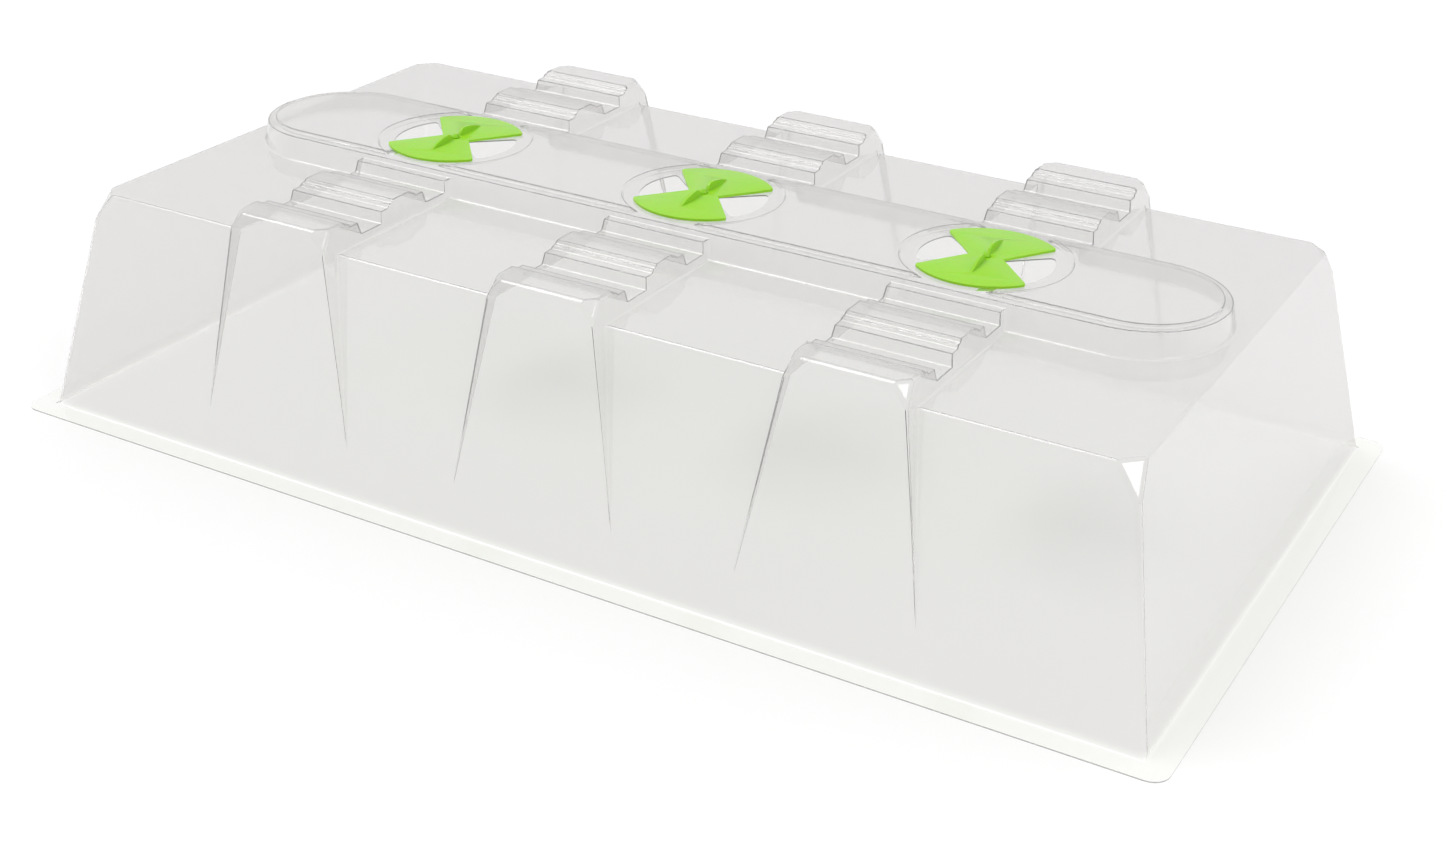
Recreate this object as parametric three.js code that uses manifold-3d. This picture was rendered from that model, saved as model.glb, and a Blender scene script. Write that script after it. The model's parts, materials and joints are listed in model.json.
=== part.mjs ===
// Vented propagation dome: one clear thermoformed cover with a flat rim, and three rotary vents
// that turn on snap-in pins. Millimetres, +Z up, origin at the centre of the rim's underside.
import * as THREE from "three";
import { mergeVertices } from "three/addons/utils/BufferGeometryUtils.js";
import Module from "manifold-3d";

const wasm = await Module();
wasm.setup();

// Driving dimensions.
const SHEET = 1.2;
const GAP = 0.3;
const THROUGH = 5; // how far a cutter runs past the face it cuts
const SUNK = 12; // how far a raised form reaches into the one below it
const FACET_BLOCK = 8; // a facet cutter's side, in legs of its facet

const RIM = { length: 1220, width: 664, flange: 23, cornerRadius: 16 };
const ROOF = { z: 226, taper: 48, cornerCut: 18 };
const RIDGE = { footHalfLength: 526, footHalfWidth: 87, halfLength: 521, halfWidth: 81, z: 249.3 };
const PANEL = { halfLength: 514, halfWidth: 70, draft: 1, z: 252.3 };

const VENT_PITCH = 296;
const VENT_X = { left: -VENT_PITCH, middle: 0, right: VENT_PITCH };
const SEAT = { floorRadius: 76.5, rimRadius: 79, holeRadius: 3.5 };
const WINDOW = { apexRadius: 11, rimRadius: 62.5, halfAngle: 41.4, cornerCut: 6 };

const BUTTRESS = {
  frontY: 275.5, frontDraft: 0.115, halfWidth: 53.5, endDraft: 0.16, z: 250.5, footZ: 20, cornerCut: 13,
};
const CHANNEL = { firstY: 109, pitch: 98, floorZ: 233.5, floorHalf: 14.5, landingZ: 244.5, landing: 10.5 };
const STEPS = { count: 2, tread: 3.5, draft: 2.5 };
const WALL_DRAFT = 2.5;

const ROTOR = { radius: 69, thickness: 2.5, waist: 16, halfAngle: 49, cornerCut: 4, holeRadius: 3.5 };
const ROTOR_TURN = { left: 2, middle: 0, right: 5 };
const FIN = { tipRadius: 43, crestRadius: 13, footRadius: 6, height: 7, thickness: 2.8, root: 1 };
const HEEL = { reach: 2, height: 5.5 };
const PIN = { headRadius: 7, headThickness: 2, headEdge: 0.6, shaftRadius: 3 };
const PIN_TIP = { barbRadius: 4.2, barbHeight: 0.8, radius: 2.4, height: 3.4, slot: 1.2, slotFloor: 1 };

const SEGMENTS = {
  stadiumEnd: 24, rimCorner: 6, seat: 72, hole: 24, window: 10, disc: 24, blade: 8, pin: 32,
};

const FINISH = {
  clear: { color: 0xe4e4e2, roughness: 0.08, metalness: 0, transparent: true, opacity: 0.35 },
  lime: { color: 0x92de26, roughness: 0.3, metalness: 0 },
};

// Outlines: arrays of Vector2, counter-clockwise.
function rectangle(halfX, halfY) {
  return [[-1, -1], [1, -1], [1, 1], [-1, 1]].map(([x, y]) => new THREE.Vector2(x * halfX, y * halfY));
}

function arcPoints(centreX, centreY, radius, from, to, steps) {
  return Array.from({ length: steps + 1 }, (_, i) => {
    const angle = THREE.MathUtils.degToRad(from + ((to - from) * i) / steps);
    return new THREE.Vector2(centreX + radius * Math.cos(angle), centreY + radius * Math.sin(angle));
  });
}

function stadium(halfLength, halfWidth) {
  const centre = halfLength - halfWidth;
  return [
    ...arcPoints(centre, 0, halfWidth, -90, 90, SEGMENTS.stadiumEnd),
    ...arcPoints(-centre, 0, halfWidth, 90, 270, SEGMENTS.stadiumEnd),
  ];
}

function roundedRectangle(halfX, halfY, radius) {
  const x = halfX - radius;
  const y = halfY - radius;
  const corners = [[x, y, 0], [-x, y, 90], [-x, -y, 180], [x, -y, 270]];
  return corners.flatMap(([centreX, centreY, start]) => (
    arcPoints(centreX, centreY, radius, start, start + 90, SEGMENTS.rimCorner)));
}

function circle(radius, steps) {
  return arcPoints(0, 0, radius, 0, 360, steps).slice(0, -1);
}

// Moves every edge of a counter-clockwise outline inwards by the same distance.
function insetOutline(points, distance) {
  const shifted = points.map((start, i) => {
    const run = points[(i + 1) % points.length].clone().sub(start).normalize();
    const inward = new THREE.Vector2(-run.y, run.x);
    return { point: start.clone().addScaledVector(inward, distance), run };
  });
  return shifted.map((edge, i) => {
    const previous = shifted[(i + points.length - 1) % points.length];
    const offset = edge.point.clone().sub(previous.point);
    const along = offset.cross(edge.run) / previous.run.cross(edge.run);
    return previous.point.clone().addScaledVector(previous.run, along);
  });
}

// Solids.
function solid(geometry) {
  const bare = geometry.index ? geometry.toNonIndexed() : geometry.clone();
  bare.deleteAttribute("normal");
  bare.deleteAttribute("uv");
  const merged = mergeVertices(bare, 1e-4);
  return new wasm.Manifold(new wasm.Mesh({
    numProp: 3,
    vertProperties: new Float32Array(merged.attributes.position.array),
    triVerts: new Uint32Array(merged.index.array),
  }));
}

// A straight-sided solid between a low and a high outline of the same number of points.
function loft(low, high, lowZ, highZ) {
  const count = low.length;
  const positions = [...low.map((p) => [p.x, p.y, lowZ]), ...high.map((p) => [p.x, p.y, highZ])].flat();
  const faces = [];
  low.forEach((_, i) => {
    const next = (i + 1) % count;
    faces.push(i, next, count + next, i, count + next, count + i);
  });
  for (const [a, b, c] of THREE.ShapeUtils.triangulateShape(low, [])) {
    faces.push(a, c, b);
  }
  for (const [a, b, c] of THREE.ShapeUtils.triangulateShape(high, [])) {
    faces.push(count + a, count + b, count + c);
  }
  const geometry = new THREE.BufferGeometry();
  geometry.setAttribute("position", new THREE.Float32BufferAttribute(positions, 3));
  geometry.setIndex(faces);
  return solid(geometry);
}

function prism(outline, depth) {
  return new THREE.ExtrudeGeometry(new THREE.Shape(outline), { depth, bevelEnabled: false });
}

// An outline in the (Y, Z) plane, swept along X over the given half length.
function sweptAlongX(outline, halfLength) {
  const geometry = prism(outline, 2 * halfLength).translate(0, 0, -halfLength);
  const yToZ = new THREE.Matrix4().makeBasis(
    new THREE.Vector3(0, 1, 0), new THREE.Vector3(0, 0, 1), new THREE.Vector3(1, 0, 0));
  return solid(geometry.applyMatrix4(yToZ));
}

// An outline in the (X, Z) plane, swept along Y over the given half length.
function sweptAlongY(outline, halfLength) {
  const geometry = prism(outline, 2 * halfLength).translate(0, 0, -halfLength);
  return solid(geometry.rotateX(Math.PI / 2));
}

// A block that cuts the top corner of a box back to a triangular facet, legs long on each edge.
function cornerCutter(corner, side, leg, inset) {
  const size = FACET_BLOCK * leg;
  const normal = new THREE.Vector3(side.x, side.y, 1).normalize();
  const facet = new THREE.Vector3(corner.x, corner.y, corner.z - leg).addScaledVector(normal, -inset);
  const block = new THREE.BoxGeometry(size, size, size).translate(0, 0, size / 2);
  const turn = new THREE.Quaternion().setFromUnitVectors(new THREE.Vector3(0, 0, 1), normal);
  return solid(block.applyQuaternion(turn).translate(facet.x, facet.y, facet.z));
}

// The dome's form. Inset 0 is its outer face, and inset SHEET is its inner face.
function wallHalf(side, z) {
  return side / 2 - RIM.flange - (ROOF.taper * z) / ROOF.z;
}

function body(inset) {
  const lowZ = inset > 0 ? -THROUGH : 0;
  const outlineAt = (z) => rectangle(wallHalf(RIM.length, z) - inset, wallHalf(RIM.width, z) - inset);
  let form = loft(outlineAt(lowZ), outlineAt(ROOF.z), lowZ, ROOF.z - inset);
  const halfX = wallHalf(RIM.length, ROOF.z);
  const halfY = wallHalf(RIM.width, ROOF.z);
  for (const x of [-1, 1]) {
    for (const y of [-1, 1]) {
      const corner = new THREE.Vector3(x * halfX, y * halfY, ROOF.z);
      form = form.subtract(cornerCutter(corner, { x, y }, ROOF.cornerCut, inset));
    }
  }
  return form;
}

function ridge(inset) {
  const foot = stadium(RIDGE.footHalfLength - inset, RIDGE.footHalfWidth - inset);
  const ledge = stadium(RIDGE.halfLength - inset, RIDGE.halfWidth - inset);
  const panelFoot = stadium(PANEL.halfLength + PANEL.draft - inset, PANEL.halfWidth + PANEL.draft - inset);
  const panelTop = stadium(PANEL.halfLength - inset, PANEL.halfWidth - inset);
  const base = loft(foot, foot, ROOF.z - SUNK, ROOF.z - inset);
  const step = loft(foot, ledge, ROOF.z - inset, RIDGE.z - inset);
  const panel = loft(panelFoot, panelTop, RIDGE.z - SUNK, PANEL.z - inset);
  let form = base.add(step).add(panel);
  for (const x of Object.values(VENT_X)) {
    const floor = circle(SEAT.floorRadius + inset, SEGMENTS.seat);
    const rim = circle(SEAT.rimRadius + inset, SEGMENTS.seat);
    form = form.subtract(loft(floor, rim, RIDGE.z - inset, PANEL.z - inset).translate(x, 0, 0));
  }
  return form;
}

// One flank of a lamp channel, from its floor out to the plateau.
function channelFlank() {
  const landingEnd = CHANNEL.floorHalf + WALL_DRAFT + CHANNEL.landing;
  const rise = (BUTTRESS.z - CHANNEL.landingZ) / STEPS.count;
  const flank = [[CHANNEL.floorHalf, CHANNEL.floorZ], [CHANNEL.floorHalf + WALL_DRAFT, CHANNEL.landingZ]];
  for (let step = 0; step < STEPS.count; step += 1) {
    const edge = landingEnd + step * (STEPS.tread + STEPS.draft);
    flank.push([edge, CHANNEL.landingZ + step * rise]);
    flank.push([edge + STEPS.draft, CHANNEL.landingZ + (step + 1) * rise]);
  }
  return flank;
}

// Half section of the pair of buttresses in (Y, Z): front face, stepped channels, then the ridge side.
function buttressSection(inset) {
  const lowZ = BUTTRESS.footZ;
  const ridgeY = RIDGE.halfWidth - SUNK;
  const flank = channelFlank();
  const floorToLanding = 2;
  const outerChannelY = CHANNEL.firstY + CHANNEL.pitch;
  const across = (centreY, side) => flank.map(([half, z]) => new THREE.Vector2(-centreY + side * half, z));
  const frontFootY = BUTTRESS.frontY + BUTTRESS.frontDraft * (BUTTRESS.z - lowZ);
  const outline = [
    new THREE.Vector2(-ridgeY, CHANNEL.landingZ),
    ...across(CHANNEL.firstY, 1).slice(0, floorToLanding).reverse(),
    ...across(CHANNEL.firstY, -1),
    ...across(outerChannelY, 1).reverse(),
    ...across(outerChannelY, -1),
    new THREE.Vector2(-BUTTRESS.frontY, BUTTRESS.z),
    new THREE.Vector2(-frontFootY, lowZ),
    new THREE.Vector2(-ridgeY, lowZ),
  ];
  return insetOutline(outline, inset);
}

function buttress(inset) {
  const lowZ = BUTTRESS.footZ - THROUGH;
  const highZ = BUTTRESS.z + THROUGH;
  const halfAt = (z) => BUTTRESS.halfWidth + BUTTRESS.endDraft * (BUTTRESS.z - z) - inset;
  const ends = [[-halfAt(lowZ), lowZ], [halfAt(lowZ), lowZ], [halfAt(highZ), highZ], [-halfAt(highZ), highZ]];
  const wedge = sweptAlongY(ends.map(([x, z]) => new THREE.Vector2(x, z)), RIM.width);
  let form = sweptAlongX(buttressSection(inset), 2 * BUTTRESS.halfWidth).intersect(wedge);
  for (const x of [-1, 1]) {
    const corner = new THREE.Vector3(x * BUTTRESS.halfWidth, -BUTTRESS.frontY, BUTTRESS.z);
    form = form.subtract(cornerCutter(corner, { x, y: -1 }, BUTTRESS.cornerCut, inset));
  }
  return form;
}

function domeForm(inset) {
  let form = body(inset).add(ridge(inset));
  const near = buttress(inset);
  for (const x of Object.values(VENT_X)) {
    form = form.add(near.translate(x, 0, 0)).add(near.rotate([0, 0, 180]).translate(x, 0, 0));
  }
  return form;
}

// A sector whose straight sides meet at an apex on the +X axis, with its two outer corners cut round.
function sectorOutline({ apexRadius, rimRadius, halfAngle, cornerCut }) {
  const slope = THREE.MathUtils.degToRad(halfAngle);
  const offset = apexRadius * Math.sin(slope);
  const reach = Math.sqrt(rimRadius ** 2 - offset ** 2) - apexRadius * Math.cos(slope);
  const corner = new THREE.Vector2(apexRadius + reach * Math.cos(slope), reach * Math.sin(slope));
  const arcEnd = Math.atan2(corner.y, corner.x) - cornerCut / rimRadius;
  const shape = new THREE.Shape();
  shape.moveTo(apexRadius, 0);
  const sideEnd = new THREE.Vector2(
    corner.x - cornerCut * Math.cos(slope), corner.y - cornerCut * Math.sin(slope));
  shape.lineTo(sideEnd.x, -sideEnd.y);
  shape.quadraticCurveTo(corner.x, -corner.y, rimRadius * Math.cos(arcEnd), -rimRadius * Math.sin(arcEnd));
  shape.absarc(0, 0, rimRadius, -arcEnd, arcEnd, false);
  shape.quadraticCurveTo(corner.x, corner.y, sideEnd.x, sideEnd.y);
  return shape;
}

function ventOpening() {
  const depth = SHEET + 2 * THROUGH;
  const shape = sectorOutline(WINDOW);
  const cutter = solid(new THREE.ExtrudeGeometry(shape, {
    depth, bevelEnabled: false, curveSegments: SEGMENTS.window,
  }));
  const hole = circle(SEAT.holeRadius, SEGMENTS.hole);
  const bore = loft(hole, hole, 0, depth);
  return cutter.add(cutter.rotate([0, 0, 180])).add(bore).translate(0, 0, RIDGE.z - SHEET - THROUGH);
}

function domeShell() {
  const rim = roundedRectangle(RIM.length / 2, RIM.width / 2, RIM.cornerRadius);
  let shell = domeForm(0).add(loft(rim, rim, 0, SHEET)).subtract(domeForm(SHEET));
  for (const x of Object.values(VENT_X)) {
    shell = shell.subtract(ventOpening().translate(x, 0, 0));
  }
  return shell;
}

// The bow-tie disc: two sectors on the Y axis, joined across a narrow waist.
function rotorPlate() {
  const half = THREE.MathUtils.degToRad(ROTOR.halfAngle);
  const corner = new THREE.Vector2(ROTOR.radius * Math.sin(half), ROTOR.radius * Math.cos(half));
  const side = corner.clone().sub(new THREE.Vector2(ROTOR.waist, 0)).normalize();
  const sideEnd = corner.clone().addScaledVector(side, -ROTOR.cornerCut);
  const arcEnd = half - ROTOR.cornerCut / ROTOR.radius;
  const shape = new THREE.Shape();
  shape.moveTo(ROTOR.waist, 0);
  for (const way of [1, -1]) {
    shape.lineTo(way * sideEnd.x, way * sideEnd.y);
    shape.quadraticCurveTo(way * corner.x, way * corner.y,
      way * ROTOR.radius * Math.sin(arcEnd), way * ROTOR.radius * Math.cos(arcEnd));
    const middle = way > 0 ? Math.PI / 2 : -Math.PI / 2;
    shape.absarc(0, 0, ROTOR.radius, middle - arcEnd, middle + arcEnd, false);
    shape.quadraticCurveTo(-way * corner.x, way * corner.y, -way * sideEnd.x, way * sideEnd.y);
    shape.lineTo(-way * ROTOR.waist, 0);
  }
  const depth = ROTOR.thickness;
  return solid(new THREE.ExtrudeGeometry(shape, {
    depth, bevelEnabled: false, curveSegments: SEGMENTS.disc,
  }));
}

// One upright finger blade on the +Y side, highest near the hub and running out to a point.
function fingerBlade() {
  const shape = new THREE.Shape();
  const top = ROTOR.thickness + FIN.height;
  shape.moveTo(FIN.footRadius, ROTOR.thickness - FIN.root);
  shape.lineTo(FIN.tipRadius, ROTOR.thickness - FIN.root);
  shape.lineTo(FIN.tipRadius, ROTOR.thickness);
  const shoulder = (FIN.tipRadius + FIN.crestRadius) / 2;
  shape.quadraticCurveTo(shoulder, top, FIN.crestRadius, top);
  shape.quadraticCurveTo(
    FIN.footRadius + HEEL.reach, ROTOR.thickness + HEEL.height, FIN.footRadius, ROTOR.thickness);
  const geometry = new THREE.ExtrudeGeometry(shape, {
    depth: FIN.thickness, bevelEnabled: false, curveSegments: SEGMENTS.blade,
  }).translate(0, 0, -FIN.thickness / 2);
  return solid(geometry.rotateX(Math.PI / 2).rotateZ(Math.PI / 2));
}

function ventRotor() {
  const blade = fingerBlade();
  const hole = circle(ROTOR.holeRadius, SEGMENTS.hole);
  const bore = loft(hole, hole, -THROUGH, ROTOR.thickness + THROUGH);
  return rotorPlate().add(blade).add(blade.rotate([0, 0, 180])).subtract(bore);
}

// Snap-in pin: a head under the dome, a shaft through dome and rotor, and a split barbed tip.
function retainingPin() {
  const headTop = -SHEET - GAP;
  const barb = GAP + ROTOR.thickness + GAP;
  const profile = [
    [0, headTop - PIN.headThickness],
    [PIN.headRadius - PIN.headEdge, headTop - PIN.headThickness],
    [PIN.headRadius, headTop - PIN.headThickness + PIN.headEdge],
    [PIN.headRadius, headTop],
    [PIN.shaftRadius, headTop],
    [PIN.shaftRadius, barb],
    [PIN_TIP.barbRadius, barb],
    [PIN_TIP.barbRadius, barb + PIN_TIP.barbHeight],
    [PIN_TIP.radius, barb + PIN_TIP.height],
    [0, barb + PIN_TIP.height],
  ].map(([radius, z]) => new THREE.Vector2(radius, z));
  const turned = solid(new THREE.LatheGeometry(profile, SEGMENTS.pin).rotateX(Math.PI / 2));
  const slotHeight = barb + PIN_TIP.height;
  const slot = new THREE.BoxGeometry(4 * PIN_TIP.barbRadius, PIN_TIP.slot, slotHeight);
  return turned.subtract(solid(slot.translate(0, 0, slotHeight / 2 + PIN_TIP.slotFloor)));
}

// Assembly.
function meshFrom(form, name, finish) {
  const { vertProperties, triVerts } = form.getMesh();
  const geometry = new THREE.BufferGeometry();
  geometry.setAttribute("position", new THREE.Float32BufferAttribute(vertProperties, 3));
  geometry.setIndex([...triVerts]);
  geometry.computeVertexNormals();
  const mesh = new THREE.Mesh(geometry, new THREE.MeshStandardMaterial(finish));
  mesh.name = name;
  return mesh;
}

function ventAssembly(place) {
  const vent = new THREE.Group();
  const rotor = meshFrom(ventRotor(), `vent_rotor_${place}`, FINISH.lime);
  rotor.position.z = GAP;
  rotor.rotation.z = THREE.MathUtils.degToRad(ROTOR_TURN[place]);
  const pin = meshFrom(retainingPin(), `retaining_pin_${place}`, FINISH.lime);
  vent.add(rotor, pin);
  vent.position.set(VENT_X[place], 0, RIDGE.z);
  return vent;
}

const dome = new THREE.Group();
dome.add(meshFrom(domeShell(), "dome_shell", FINISH.clear));
for (const place of Object.keys(VENT_X)) {
  dome.add(ventAssembly(place));
}

export default dome;
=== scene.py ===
"""Looks of a vented propagation dome: a clear thermoformed cover with three lime green rotary vents.

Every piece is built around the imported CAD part, in metres, +Z up, with the origin at the centre of the
rim's underside. The cover gets the rounded folds that a hot sheet takes over a mould, the rotors and
pins get their moulded edges, and a plain studio stands round them.
"""

import json
import logging
import math
from dataclasses import dataclass
from enum import Enum

import bmesh
import bpy
from mathutils import Euler, Matrix, Vector

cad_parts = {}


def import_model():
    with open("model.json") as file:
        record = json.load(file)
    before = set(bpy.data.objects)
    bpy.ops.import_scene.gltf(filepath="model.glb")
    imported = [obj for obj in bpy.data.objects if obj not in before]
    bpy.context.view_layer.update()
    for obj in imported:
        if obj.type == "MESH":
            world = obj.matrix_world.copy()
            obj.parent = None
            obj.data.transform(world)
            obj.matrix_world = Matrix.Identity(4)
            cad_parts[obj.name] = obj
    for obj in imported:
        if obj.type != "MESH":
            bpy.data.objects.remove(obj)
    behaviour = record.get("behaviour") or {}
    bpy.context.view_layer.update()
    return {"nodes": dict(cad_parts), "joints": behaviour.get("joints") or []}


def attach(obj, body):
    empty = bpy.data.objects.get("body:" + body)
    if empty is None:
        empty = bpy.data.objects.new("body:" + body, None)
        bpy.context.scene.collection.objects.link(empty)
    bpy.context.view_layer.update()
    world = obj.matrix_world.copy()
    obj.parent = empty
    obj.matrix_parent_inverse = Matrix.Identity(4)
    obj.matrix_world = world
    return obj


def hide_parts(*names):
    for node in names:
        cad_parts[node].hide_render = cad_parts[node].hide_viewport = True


LOG = logging.getLogger("propagation_dome")
MM = 0.001
WELD = 0.01 * MM
LEVEL_ANGLE = math.radians(0.3)
ROUND_PROFILE = 0.5


class Place(Enum):
    """The three vent seats along the ridge, by name, with each rotor's resting turn in degrees."""

    LEFT = ("left", 2.0)
    MIDDLE = ("middle", 0.0)
    RIGHT = ("right", 5.0)

    @property
    def word(self) -> str:
        """The place as it stands in the CAD names."""
        return self.value[0]

    @property
    def turn(self) -> float:
        """The rotor's turn at rest, in radians."""
        return math.radians(self.value[1])


class Fold(Enum):
    """How far a formed edge is rounded back along its two faces, in millimetres, by kind of fold."""

    FLAT = 0.0
    STEP = 0.8
    PANEL = 0.8
    CHANNEL = 1.3
    RIM_FOOT = 1.8
    SEAM = 2.2
    FACET = 3.0
    ROOF_EDGE = 3.0
    WALL_CORNER = 5.0
    BUTTRESS_FRONT = 6.0


def linear(code: str) -> tuple[float, float, float, float]:
    """Turns an sRGB hex colour into linear values.

    Args:
        code: Six hex digits, such as "92DE26".

    Returns:
        Linear red, green and blue, with an alpha of 1.
    """
    channels = [int(code[i : i + 2], 16) / 255 for i in (0, 2, 4)]
    red, green, blue = (c / 12.92 if c <= 0.04045 else ((c + 0.055) / 1.055) ** 2.4 for c in channels)
    return red, green, blue, 1.0


def add_node(
    tree: bpy.types.NodeTree,
    kind: str,
    inputs: dict[str | int, object] | None = None,
    **settings: object,
) -> bpy.types.Node:
    """Adds a node, sets its properties, and sets or links its inputs.

    Args:
        tree: The tree that the node goes into.
        kind: The node's type name.
        inputs: Values or output sockets by input name or number.
        **settings: The node's own properties.

    Returns:
        The new node.
    """
    node = tree.nodes.new(kind)
    for name, value in settings.items():
        setattr(node, name, value)
    for name, value in (inputs or {}).items():
        if isinstance(value, bpy.types.NodeSocket):
            tree.links.new(value, node.inputs[name])
        else:
            node.inputs[name].default_value = value
    return node


def empty_material(name: str) -> tuple[bpy.types.Material, bpy.types.NodeTree]:
    """Makes a node material with nothing in it.

    Args:
        name: The finish's name.

    Returns:
        The material and its node tree.
    """
    material = bpy.data.materials.new(name)
    material.use_nodes = True
    material.node_tree.nodes.clear()
    return material, material.node_tree


@dataclass(frozen=True)
class ClearSheet:
    """Clear PETG sheet, vacuum formed over a smooth mould: glossy, faintly grey, a little wavy.

    The drawn walls and roof carry a slight haze and a grey tint that is partly painted shade, darkening
    what shows through them. The rim's tint is nearly clear, so it stays paler.
    """

    name: str = "clear_petg_vacuum_formed"
    # The drawn sheet's grey, partly painted shade over the floor inside the dome.
    tint: str = "F2F1F1"
    rim_tint: str = "FFFFFE"
    lamp_tint: str = "F5F5F4"
    rim_lamp_tint: str = "FFFFFE"
    rim_top_mm: float = 1.5
    drawn_from_mm: float = 8.0
    haze: float = 0.1
    ior: float = 1.5
    roughness: float = 0.08
    wave_length_mm: float = 70.0
    wave_depth_mm: float = 0.09

    def build(self) -> bpy.types.Material:
        """Builds the sheet: glass to the eye, and a pale filter to the lamps, so it casts a light shade.

        Returns:
            The sheet's material.
        """
        material, tree = empty_material(self.name)
        place = add_node(tree, "ShaderNodeTexCoord")
        # The grey tint, partly painted shade, grows from the nearly clear rim to the drawn wall.
        height = add_node(tree, "ShaderNodeSeparateXYZ", {0: place.outputs["Object"]})
        drawn = add_node(
            tree,
            "ShaderNodeMapRange",
            {"Value": height.outputs["Z"], 1: self.rim_top_mm * MM, 2: self.drawn_from_mm * MM},
        )
        # Painted shade, in part: the grey tint darkens what shows through the walls and roof, and less at
        # the rim.
        tint = self.blend(tree, drawn, self.rim_tint, self.tint)
        lamp_tint = self.blend(tree, drawn, self.rim_lamp_tint, self.lamp_tint)
        # Long shallow waves from the forming bend the lines that show through.
        wave = add_node(
            tree,
            "ShaderNodeTexNoise",
            {"Vector": place.outputs["Object"], "Scale": 1 / (self.wave_length_mm * MM), "Detail": 1.0},
        )
        bump = add_node(
            tree,
            "ShaderNodeBump",
            {"Height": wave.outputs["Fac"], "Distance": self.wave_depth_mm * MM, "Strength": 1.0},
        )
        # A little haze softens what shows through; the gloss keeps the folds' fine bright lines.
        sheet = add_node(
            tree,
            "ShaderNodeBsdfPrincipled",
            {
                "Base Color": tint,
                "Roughness": self.roughness,
                "IOR": self.ior,
                "Transmission Weight": 1.0 - self.haze,
                "Normal": bump.outputs["Normal"],
            },
        )
        # Lamps pass straight through with a small loss, which gives the pale even shade inside.
        lamp = add_node(tree, "ShaderNodeBsdfTransparent", {"Color": lamp_tint})
        path = add_node(tree, "ShaderNodeLightPath")
        soft_light = add_node(
            tree,
            "ShaderNodeMath",
            {0: path.outputs["Is Shadow Ray"], 1: path.outputs["Is Diffuse Ray"]},
            operation="MAXIMUM",
        )
        mix = add_node(
            tree,
            "ShaderNodeMixShader",
            {0: soft_light.outputs[0], 1: sheet.outputs[0], 2: lamp.outputs[0]},
        )
        add_node(tree, "ShaderNodeOutputMaterial", {"Surface": mix.outputs[0]})
        return material

    def blend(
        self, tree: bpy.types.NodeTree, amount: bpy.types.Node, rim: str, drawn: str
    ) -> bpy.types.NodeSocket:
        """Blends from the rim's colour to the drawn sheet's colour.

        Args:
            tree: The material's tree.
            amount: The node that gives 0 at the rim and 1 on the drawn sheet.
            rim: The rim's colour, as hex digits.
            drawn: The drawn sheet's colour, as hex digits.

        Returns:
            The blended colour.
        """
        # A colour mix takes its two colours at sockets 6 and 7 and gives the blend at output 2.
        colours = {0: amount.outputs[0], 6: linear(rim), 7: linear(drawn)}
        return add_node(tree, "ShaderNodeMix", colours, data_type="RGBA").outputs[2]


@dataclass(frozen=True)
class LimePlastic:
    """Lime green polypropylene, injection moulded: waxy gloss over a slightly see-through body."""

    name: str = "lime_polypropylene_moulded"
    colour: str = "99D829"
    roughness: float = 0.24
    gloss: float = 0.4
    ior: float = 1.49
    scatter: float = 0.5
    scatter_radius_mm: float = 1.5
    grain_mm: float = 0.8
    grain_depth_mm: float = 0.01

    def build(self) -> bpy.types.Material:
        """Builds the plastic, with the faint grain that a moulded face keeps.

        Returns:
            The plastic's material.
        """
        material, tree = empty_material(self.name)
        place = add_node(tree, "ShaderNodeTexCoord")
        # Grain finer than a millimetre breaks up the lamps' reflections.
        grain = add_node(
            tree,
            "ShaderNodeTexNoise",
            {"Vector": place.outputs["Object"], "Scale": 1 / (self.grain_mm * MM), "Detail": 2.0},
        )
        bump = add_node(
            tree,
            "ShaderNodeBump",
            {"Height": grain.outputs["Fac"], "Distance": self.grain_depth_mm * MM, "Strength": 0.5},
        )
        # Light that goes a little way in keeps the thin edges as green as the faces.
        body = add_node(
            tree,
            "ShaderNodeBsdfPrincipled",
            {
                "Base Color": linear(self.colour),
                "Roughness": self.roughness,
                "IOR": self.ior,
                "Specular IOR Level": self.gloss,
                "Subsurface Weight": self.scatter,
                "Subsurface Scale": self.scatter_radius_mm * MM,
                "Normal": bump.outputs["Normal"],
            },
        )
        add_node(tree, "ShaderNodeOutputMaterial", {"Surface": body.outputs[0]})
        return material


@dataclass(frozen=True)
class StudioPaper:
    """White seamless studio paper: matt, even, without a pattern."""

    name: str = "white_studio_paper"
    colour: str = "F8F8F8"
    roughness: float = 0.9

    def build(self) -> bpy.types.Material:
        """Builds the paper as a plain matt white.

        Returns:
            The paper's material.
        """
        material, tree = empty_material(self.name)
        # No sheen, so the floor stays evenly white from any side.
        paper = add_node(
            tree,
            "ShaderNodeBsdfPrincipled",
            {"Base Color": linear(self.colour), "Roughness": self.roughness, "Specular IOR Level": 0.0},
        )
        add_node(tree, "ShaderNodeOutputMaterial", {"Surface": paper.outputs[0]})
        return material


def piece_from(name: str, mesh: bpy.types.Mesh) -> bpy.types.Object:
    """Puts a mesh into the scene as an object at the origin.

    Args:
        name: The object's name.
        mesh: The mesh that it shows.

    Returns:
        The new object.
    """
    piece = bpy.data.objects.new(name, mesh)
    bpy.context.scene.collection.objects.link(piece)
    return piece


def baked(piece: bpy.types.Object) -> bpy.types.Object:
    """Turns a piece's modifiers into plain mesh and removes them.

    Args:
        piece: The object with live modifiers.

    Returns:
        The same object, with its evaluated mesh and no modifiers.
    """
    bpy.context.view_layer.update()
    graph = bpy.context.evaluated_depsgraph_get()
    mesh = bpy.data.meshes.new_from_object(piece.evaluated_get(graph), depsgraph=graph)
    piece.modifiers.clear()
    piece.data = mesh
    return piece


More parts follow.
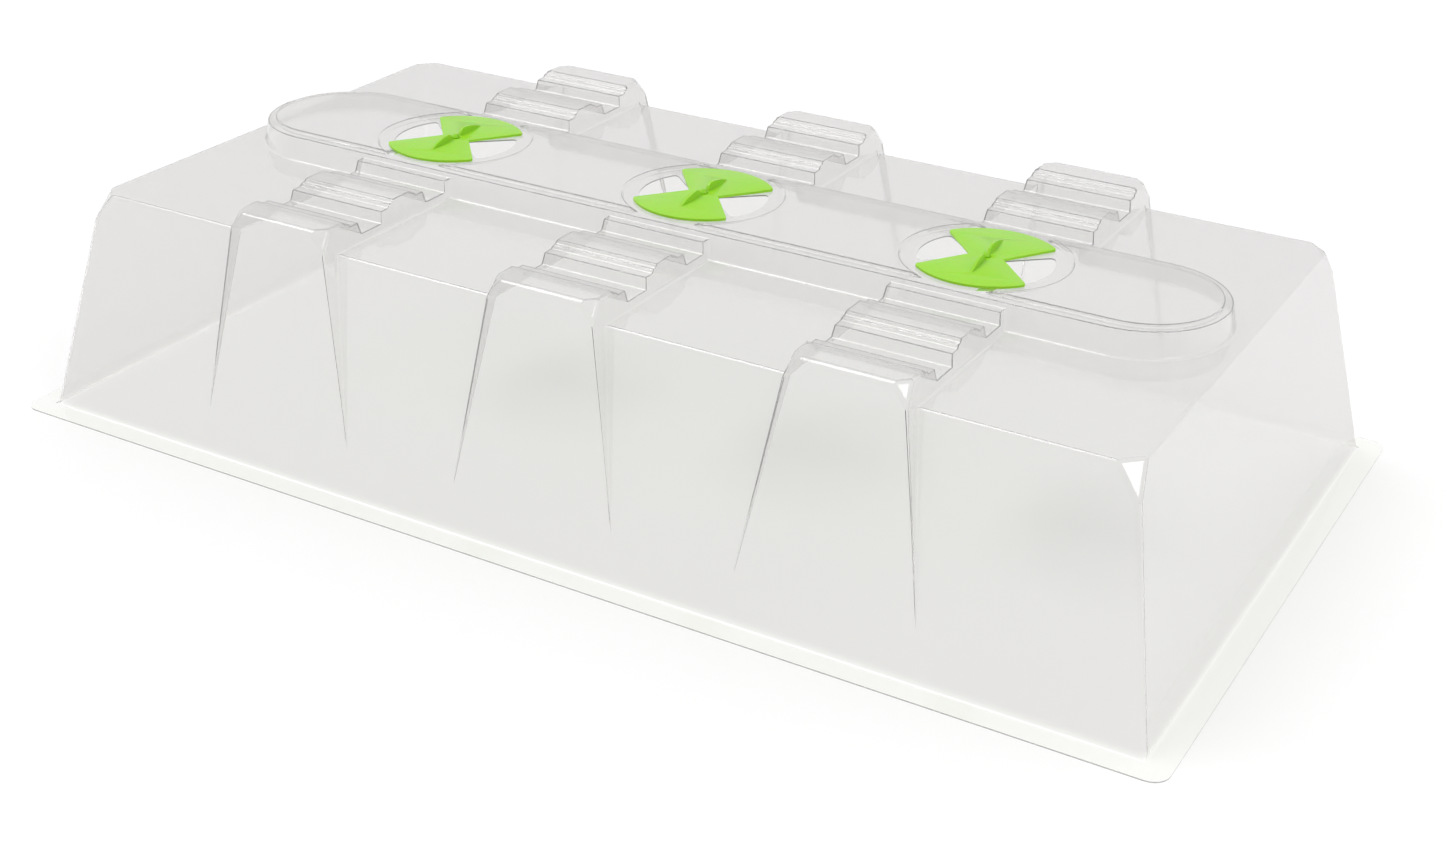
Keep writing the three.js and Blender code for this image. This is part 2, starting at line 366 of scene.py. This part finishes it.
@dataclass
class DomeCover:
    """The clear cover: one sheet with rim, walls, roof, ridge, vent seats and six buttresses."""

    source: bpy.types.Object
    finish: bpy.types.Material
    sheet_mm: float = 1.2
    rim_top_mm: float = 1.2
    roof_mm: float = 226.0
    level_mm: float = 1.0
    floor_mm: float = 233.5
    ledge_mm: float = 249.3
    vent_centres_mm: tuple[float, ...] = (-296.0, 0.0, 296.0)
    seat_reach_mm: float = 84.0
    ridge_reach_mm: float = 92.0
    wall_reach_mm: float = 535.0
    wall_side_mm: float = 255.0
    corner_reach_mm: float = 25.0
    corner_side_mm: float = 20.0
    corner_rise_mm: float = 60.0
    buttress_side_mm: float = 250.0
    upright: float = 0.999
    outer_slope: float = 0.02
    flat_angle: float = math.radians(8.0)
    crisp_angle: float = math.radians(50.0)
    deepest_mm: float = 2.6
    fold_segments: int = 4
    fewest_corners: int = 5
    shortest_fold_mm: float = 3.2

    def skin(self) -> bmesh.types.BMesh:
        """Copies every CAD face that looks upwards, and makes the flat faces whole.

        Returns:
            The cover's outer skin, as an editable mesh. The CAD node itself is left alone.
        """
        form = bmesh.new()
        form.from_mesh(self.source.data)
        bmesh.ops.remove_doubles(form, verts=form.verts, dist=WELD)
        form.normal_update()
        under = [face for face in form.faces if face.normal.z < self.outer_slope]
        bmesh.ops.delete(form, geom=under, context="FACES")
        bmesh.ops.dissolve_limit(form, angle_limit=LEVEL_ANGLE, verts=form.verts, edges=form.edges)
        self.divide_ledge(form)
        return form

    def divide_ledge(self, form: bmesh.types.BMesh) -> None:
        """Cuts the flat floor that the three seats share into simple faces, across and along the ridge.

        Args:
            form: The outer skin, changed in place.
        """
        cuts = [(Vector((0, 0, 0)), Vector((0, 1, 0)))]
        for centre in self.vent_centres_mm:
            for reach in (-self.seat_reach_mm, 0.0, self.seat_reach_mm):
                cuts.append((Vector(((centre + reach) * MM, 0, 0)), Vector((1, 0, 0))))
        for point, normal in cuts:
            level = [
                face
                for face in form.faces
                if face.normal.z > self.upright
                and abs(face.calc_center_median().z - self.ledge_mm * MM) < self.level_mm * MM / 2
            ]
            edges = dict.fromkeys(edge for face in level for edge in face.edges)
            verts = dict.fromkeys(vert for face in level for vert in face.verts)
            bmesh.ops.bisect_plane(form, geom=[*verts, *edges, *level], plane_co=point, plane_no=normal)

    def fold_of(self, edge: bmesh.types.BMEdge) -> Fold:
        """Names the kind of fold that an edge of the skin is.

        Args:
            edge: An edge of the outer skin, in metres.

        Returns:
            The fold, or Fold.FLAT where the sheet isn't folded.
        """
        if len(edge.link_faces) != 2 or edge.calc_face_angle(0.0) < self.flat_angle:
            return Fold.FLAT
        start, end = (vert.co / MM for vert in edge.verts)
        middle = (start + end) / 2
        run = end - start
        low, high = sorted((start.z, end.z))
        along_x = abs(run.x) > max(abs(run.y), abs(run.z))
        level = self.level_mm
        if high < self.rim_top_mm + level:
            return Fold.RIM_FOOT
        if low > self.ledge_mm - level and abs(middle.y) < self.ridge_reach_mm:
            return Fold.PANEL if edge.calc_length() > self.shortest_fold_mm * MM else Fold.FLAT
        if self.in_corner(middle):
            return Fold.WALL_CORNER if high - low > self.corner_rise_mm else Fold.FACET
        if abs(high - self.roof_mm) < level and low > self.roof_mm - level:
            return Fold.ROOF_EDGE if self.on_wall(middle) else Fold.SEAM
        if along_x and low > self.floor_mm - level and abs(middle.y) < self.buttress_side_mm:
            return Fold.CHANNEL if high < self.floor_mm + level else Fold.STEP
        if abs(middle.y) > self.buttress_side_mm and low > self.roof_mm - level:
            return Fold.BUTTRESS_FRONT if along_x else Fold.FACET
        if low > self.roof_mm + level:
            return Fold.STEP
        return Fold.SEAM

    def in_corner(self, middle: Vector) -> bool:
        """Tells whether a point is at one of the four corners where two outer walls meet."""
        near_end = abs(middle.x) > self.wall_reach_mm - self.corner_reach_mm
        return near_end and abs(middle.y) > self.wall_side_mm - self.corner_side_mm

    def on_wall(self, middle: Vector) -> bool:
        """Tells whether a point of the roof's edge is where the roof meets an outer wall."""
        return abs(middle.x) > self.wall_reach_mm or abs(middle.y) > self.wall_side_mm

    def build(self) -> bpy.types.Object:
        """Rounds the folds, gives the skin the sheet's thickness inwards, and dresses the cover.

        Returns:
            The cover, as a closed mesh.
        """
        form = self.skin()
        widest = max(fold.value for fold in Fold)
        weight = form.edges.layers.float.new("bevel_weight_edge")
        for edge in form.edges:
            edge[weight] = self.fold_of(edge).value / widest
        for face in form.faces:
            face.smooth = True
        mesh = bpy.data.meshes.new("dome_cover")
        form.to_mesh(mesh)
        form.free()
        cover = piece_from("dome_cover", mesh)
        folds = cover.modifiers.new("folds", "BEVEL")
        folds.limit_method = "WEIGHT"
        folds.width = widest * MM
        folds.segments = self.fold_segments
        folds.use_clamp_overlap = False
        simple = cover.modifiers.new("simple_faces", "TRIANGULATE")
        simple.min_vertices = self.fewest_corners
        wall = cover.modifiers.new("sheet", "SOLIDIFY")
        wall.thickness = self.sheet_mm * MM
        wall.offset = -1.0
        wall.use_even_offset = True
        wall.use_quality_normals = True
        baked(cover)
        self.shade(cover)
        cover.data.materials.clear()
        cover.data.materials.append(self.finish)
        return cover

    def shade(self, cover: bpy.types.Object) -> None:
        """Keeps the sheet's thickness even, the cut edges crisp, the faces flat and the folds smooth.

        Args:
            cover: The cover, changed in place.
        """
        form = bmesh.new()
        form.from_mesh(cover.data)
        form.verts.ensure_lookup_table()
        half = len(form.verts) // 2
        for outer, inner in zip(form.verts[:half], form.verts[half:]):
            through = inner.co - outer.co
            if through.length > self.deepest_mm * MM:
                inner.co = outer.co + through.normalized() * self.sheet_mm * MM
        for edge in form.edges:
            edge.smooth = edge.calc_face_angle(0.0) < self.crisp_angle
        form.to_mesh(cover.data)
        form.free()
        shading = cover.modifiers.new("shading", "WEIGHTED_NORMAL")
        shading.keep_sharp = True
        baked(cover)


@dataclass
class VentRotor:
    """A bow-tie disc with two upright finger blades, moulded in one."""

    source: bpy.types.Object
    place: Place
    finish: bpy.types.Material
    edge_mm: float = 0.45
    edge_segments: int = 3
    sharp_angle: float = math.radians(28.0)
    merge_mm: float = 0.02
    wings: int = 2

    def wing(self, axis: Vector) -> bpy.types.Mesh:
        """Makes one wing of the rotor, with rounded edges, about the pin's axis.

        Args:
            axis: A point on the pin's axis, in metres.

        Returns:
            Half of the rotor, open along the line where the other half joins.
        """
        form = bmesh.new()
        form.from_mesh(self.source.data)
        bmesh.ops.remove_doubles(form, verts=form.verts, dist=WELD)
        to_axis = Matrix.Rotation(-self.place.turn, 4, "Z") @ Matrix.Translation(-axis)
        bmesh.ops.transform(form, matrix=to_axis, verts=form.verts)
        bmesh.ops.dissolve_limit(form, angle_limit=LEVEL_ANGLE, verts=form.verts, edges=form.edges)
        sharp = [edge for edge in form.edges if edge.calc_face_angle(0.0) > self.sharp_angle]
        bmesh.ops.bevel(
            form,
            geom=sharp,
            offset=self.edge_mm * MM,
            segments=self.edge_segments,
            profile=ROUND_PROFILE,
            affect="EDGES",
            clamp_overlap=True,
            miter_inner="ARC",
        )
        bmesh.ops.bisect_plane(
            form,
            geom=[*form.verts, *form.edges, *form.faces],
            plane_co=(0, 0, 0),
            plane_no=(0, 1, 0),
            clear_inner=True,
        )
        for face in form.faces:
            face.smooth = True
        mesh = bpy.data.meshes.new(f"wing_{self.place.word}")
        form.to_mesh(mesh)
        form.free()
        return mesh

    def pairing(self) -> bpy.types.NodeTree:
        """Builds the tree that sets a wing round the pin as many times as the rotor has wings.

        Returns:
            The node tree, with its inputs by name.
        """
        tree = bpy.data.node_groups.new("wings_round_pin", "GeometryNodeTree")
        face = tree.interface
        face.new_socket("Wing", in_out="INPUT", socket_type="NodeSocketGeometry")
        face.new_socket("Wings", in_out="INPUT", socket_type="NodeSocketInt")
        face.new_socket("Turn", in_out="INPUT", socket_type="NodeSocketFloat")
        face.new_socket("Centre", in_out="INPUT", socket_type="NodeSocketVector")
        face.new_socket("Weld", in_out="INPUT", socket_type="NodeSocketFloat")
        face.new_socket("Finish", in_out="INPUT", socket_type="NodeSocketMaterial")
        face.new_socket("Rotor", in_out="OUTPUT", socket_type="NodeSocketGeometry")
        given = add_node(tree, "NodeGroupInput").outputs
        points = add_node(
            tree, "GeometryNodePoints", {"Count": given["Wings"], "Position": given["Centre"], "Radius": MM}
        )
        index = add_node(tree, "GeometryNodeInputIndex")
        step = add_node(tree, "ShaderNodeMath", {0: 2 * math.pi, 1: given["Wings"]}, operation="DIVIDE")
        angle = add_node(
            tree,
            "ShaderNodeMath",
            {0: index.outputs[0], 1: step.outputs[0], 2: given["Turn"]},
            operation="MULTIPLY_ADD",
        )
        about_z = add_node(tree, "ShaderNodeCombineXYZ", {"Z": angle.outputs[0]})
        turned = add_node(tree, "FunctionNodeEulerToRotation", {0: about_z.outputs[0]})
        copies = add_node(
            tree,
            "GeometryNodeInstanceOnPoints",
            {"Points": points.outputs[0], "Instance": given["Wing"], "Rotation": turned.outputs[0]},
        )
        real = add_node(tree, "GeometryNodeRealizeInstances", {"Geometry": copies.outputs[0]})
        whole = add_node(
            tree, "GeometryNodeMergeByDistance", {"Geometry": real.outputs[0], "Distance": given["Weld"]}
        )
        dressed = add_node(
            tree, "GeometryNodeSetMaterial", {"Geometry": whole.outputs[0], "Material": given["Finish"]}
        )
        add_node(tree, "NodeGroupOutput", {0: dressed.outputs[0]})
        return tree

    def build(self, axis: Vector) -> bpy.types.Object:
        """Makes the whole rotor at its place, from its wing.

        Args:
            axis: A point on the pin's axis, in metres.

        Returns:
            The rotor, as a closed mesh.
        """
        rotor = piece_from(f"rotor_{self.place.word}_moulded", self.wing(axis))
        wings = rotor.modifiers.new("wings", "NODES")
        wings.node_group = self.pairing()
        values = {
            "Wings": self.wings,
            "Turn": self.place.turn,
            "Centre": axis,
            "Weld": self.merge_mm * MM,
            "Finish": self.finish,
        }
        set_inputs(wings, values)
        return baked(rotor)


def set_inputs(modifier: bpy.types.Modifier, values: dict[str, object]) -> None:
    """Sets a Geometry Nodes modifier's inputs by their sockets' identifiers.

    Args:
        modifier: The modifier, with its node group in place.
        values: Values by input name.
    """
    for item in modifier.node_group.interface.items_tree:
        if item.item_type == "SOCKET" and item.in_out == "INPUT" and item.name in values:
            modifier[item.identifier] = values[item.name]


@dataclass
class RetainingPins:
    """The three snap-in pins along the ridge, each with a head below and a split barb above."""

    source: bpy.types.Object
    finish: bpy.types.Material
    edge_mm: float = 0.25
    edge_segments: int = 2
    sharp_angle: float = math.radians(30.0)

    def pin(self) -> bpy.types.Mesh:
        """Copies the CAD pin and rounds its edges.

        Returns:
            One pin's mesh, at the left vent.
        """
        form = bmesh.new()
        form.from_mesh(self.source.data)
        bmesh.ops.remove_doubles(form, verts=form.verts, dist=WELD)
        bmesh.ops.dissolve_limit(form, angle_limit=LEVEL_ANGLE, verts=form.verts, edges=form.edges)
        sharp = [edge for edge in form.edges if edge.calc_face_angle(0.0) > self.sharp_angle]
        bmesh.ops.bevel(
            form,
            geom=sharp,
            offset=self.edge_mm * MM,
            segments=self.edge_segments,
            profile=ROUND_PROFILE,
            affect="EDGES",
            clamp_overlap=True,
        )
        for face in form.faces:
            face.smooth = True
        mesh = bpy.data.meshes.new("pin")
        form.to_mesh(mesh)
        form.free()
        return mesh

    def row(self) -> bpy.types.NodeTree:
        """Builds the tree that repeats a pin along the ridge at the vents' pitch.

        Returns:
            The node tree, with its inputs by name.
        """
        tree = bpy.data.node_groups.new("pins_along_ridge", "GeometryNodeTree")
        face = tree.interface
        face.new_socket("Pin", in_out="INPUT", socket_type="NodeSocketGeometry")
        face.new_socket("Count", in_out="INPUT", socket_type="NodeSocketInt")
        face.new_socket("Pitch", in_out="INPUT", socket_type="NodeSocketVector")
        face.new_socket("Finish", in_out="INPUT", socket_type="NodeSocketMaterial")
        face.new_socket("Pins", in_out="OUTPUT", socket_type="NodeSocketGeometry")
        given = add_node(tree, "NodeGroupInput").outputs
        line = add_node(tree, "GeometryNodeMeshLine", {"Count": given["Count"], "Offset": given["Pitch"]})
        copies = add_node(
            tree, "GeometryNodeInstanceOnPoints", {"Points": line.outputs[0], "Instance": given["Pin"]}
        )
        real = add_node(tree, "GeometryNodeRealizeInstances", {"Geometry": copies.outputs[0]})
        dressed = add_node(
            tree, "GeometryNodeSetMaterial", {"Geometry": real.outputs[0], "Material": given["Finish"]}
        )
        add_node(tree, "NodeGroupOutput", {0: dressed.outputs[0]})
        return tree

    def build(self, pitch: Vector) -> bpy.types.Object:
        """Makes the row of pins.

        Args:
            pitch: The step from one vent to the next, in metres.

        Returns:
            The pins, as closed meshes in one piece.
        """
        pins = piece_from("retaining_pins", self.pin())
        repeat = pins.modifiers.new("row", "NODES")
        repeat.node_group = self.row()
        set_inputs(repeat, {"Count": len(Place), "Pitch": pitch, "Finish": self.finish})
        return baked(pins)


@dataclass
class Studio:
    """A white paper floor in a pale room, with a key softbox and a broad lamp overhead."""

    paper: bpy.types.Material
    floor_side: float = 14.0
    floor_drop_mm: float = 0.2
    room: str = "F4F4F4"
    room_strength: float = 0.88
    key_place: tuple[float, float, float] = (4.95, -1.66, 3.92)
    key_side: float = 1.5
    key_power: float = 28.0
    key_aim: tuple[float, float, float] = (0.44, -0.26, 0.23)
    sky_strength: float = 1.0
    sky_spread_deg: float = 32.0
    sky_side: tuple[float, float, float] = (-0.46, -0.06, 0.88)

    def floor(self) -> bpy.types.Object:
        """Lays the paper under the rim.

        Returns:
            The floor, as part of the stage.
        """
        form = bmesh.new()
        bmesh.ops.create_grid(form, x_segments=1, y_segments=1, size=self.floor_side / 2)
        mesh = bpy.data.meshes.new("paper_floor")
        form.to_mesh(mesh)
        form.free()
        floor = piece_from("paper_floor", mesh)
        floor.location.z = -self.floor_drop_mm * MM
        mesh.materials.append(self.paper)
        return floor

    def hang(self, lamp: bpy.types.Light, place: Vector, aim: Vector) -> bpy.types.Object:
        """Hangs a lamp and turns it to a point.

        Args:
            lamp: The lamp's data.
            place: Where it hangs, in metres.
            aim: The point that it faces, in metres.

        Returns:
            The lamp in the scene.
        """
        hung = bpy.data.objects.new(lamp.name, lamp)
        bpy.context.scene.collection.objects.link(hung)
        hung.location = place
        hung.rotation_mode = "QUATERNION"
        hung.rotation_quaternion = (aim - place).to_track_quat("-Z", "Y")
        return hung

    def key(self) -> bpy.types.Object:
        """Hangs the softbox that whitens the cut corners on the right.

        Returns:
            The softbox in the scene.
        """
        softbox = bpy.data.lights.new("key_softbox", "AREA")
        softbox.shape = "SQUARE"
        softbox.size = self.key_side
        softbox.energy = self.key_power
        return self.hang(softbox, Vector(self.key_place), Vector(self.key_aim))

    def overhead(self) -> bpy.types.Object:
        """Hangs the broad lamp that draws bright lines along the folds.

        Returns:
            The lamp in the scene.
        """
        scrim = bpy.data.lights.new("overhead_scrim", "SUN")
        scrim.energy = self.sky_strength
        scrim.angle = math.radians(self.sky_spread_deg)
        return self.hang(scrim, Vector(self.sky_side), Vector())

    def build(self) -> None:
        """Sets up floor, room light and lamps."""
        self.floor()
        world = bpy.data.worlds.new("soft_room")
        world.use_nodes = True
        world.node_tree.nodes.clear()
        room = add_node(
            world.node_tree,
            "ShaderNodeBackground",
            {"Color": linear(self.room), "Strength": self.room_strength},
        )
        add_node(world.node_tree, "ShaderNodeOutputWorld", {"Surface": room.outputs[0]})
        bpy.context.scene.world = world
        self.key()
        self.overhead()
        bpy.context.scene.view_settings.view_transform = "Standard"
        bpy.context.scene.view_settings.look = "None"


@dataclass
class Camera:
    """The camera at the product view: right of the front, looking down at 27 degrees."""

    place_mm: tuple[float, float, float] = (946.4, -1603.0, 955.8)
    turn_deg: tuple[float, float, float] = (62.7349, -0.8809, 30.3282)
    lens_mm: float = 51.158
    sensor_mm: float = 36.0
    clip: tuple[float, float] = (0.01, 50.0)

    def build(self) -> bpy.types.Object:
        """Makes the camera and gives it to the scene.

        Returns:
            The camera.
        """
        data = bpy.data.cameras.new("product_view")
        data.lens = self.lens_mm
        data.sensor_width = self.sensor_mm
        data.clip_start, data.clip_end = self.clip
        camera = bpy.data.objects.new("product_view", data)
        bpy.context.scene.collection.objects.link(camera)
        camera.location = Vector(self.place_mm) * MM
        camera.rotation_euler = Euler([math.radians(angle) for angle in self.turn_deg], "XYZ")
        bpy.context.scene.camera = camera
        return camera


def vent_axis(frame: dict, place: Place) -> Vector:
    """Returns the point on a vent's pin axis that its joint turns about, in metres."""
    joint = next(row for row in frame["joints"] if row["name"] == f"vent_{place.word}_turn")
    return Vector(joint["pos_m"])


def main() -> None:
    """Builds the cover, the rotors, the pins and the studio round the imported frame."""
    logging.basicConfig(level=logging.INFO, format="%(name)s: %(message)s")
    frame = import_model()
    nodes = frame["nodes"]
    clear = ClearSheet().build()
    lime = LimePlastic().build()

    cover = DomeCover(nodes["dome_shell"], clear).build()
    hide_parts("dome_shell")
    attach(cover, "dome")
    LOG.info("cover: %d faces", len(cover.data.polygons))

    for place in Place:
        source = nodes[f"vent_rotor_{place.word}"]
        rotor = VentRotor(source, place, lime).build(vent_axis(frame, place))
        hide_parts(source.name)
        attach(rotor, f"rotor_{place.word}")
        LOG.info("%s: %d faces", rotor.name, len(rotor.data.polygons))

    pitch = vent_axis(frame, Place.MIDDLE) - vent_axis(frame, Place.LEFT)
    pins = RetainingPins(nodes["retaining_pin_left"], lime).build(pitch)
    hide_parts(*(f"retaining_pin_{place.word}" for place in Place))
    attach(pins, "dome")
    LOG.info("pins: %d faces", len(pins.data.polygons))

    Studio(StudioPaper().build()).build()
    Camera().build()


if __name__ == "__main__":
    main()
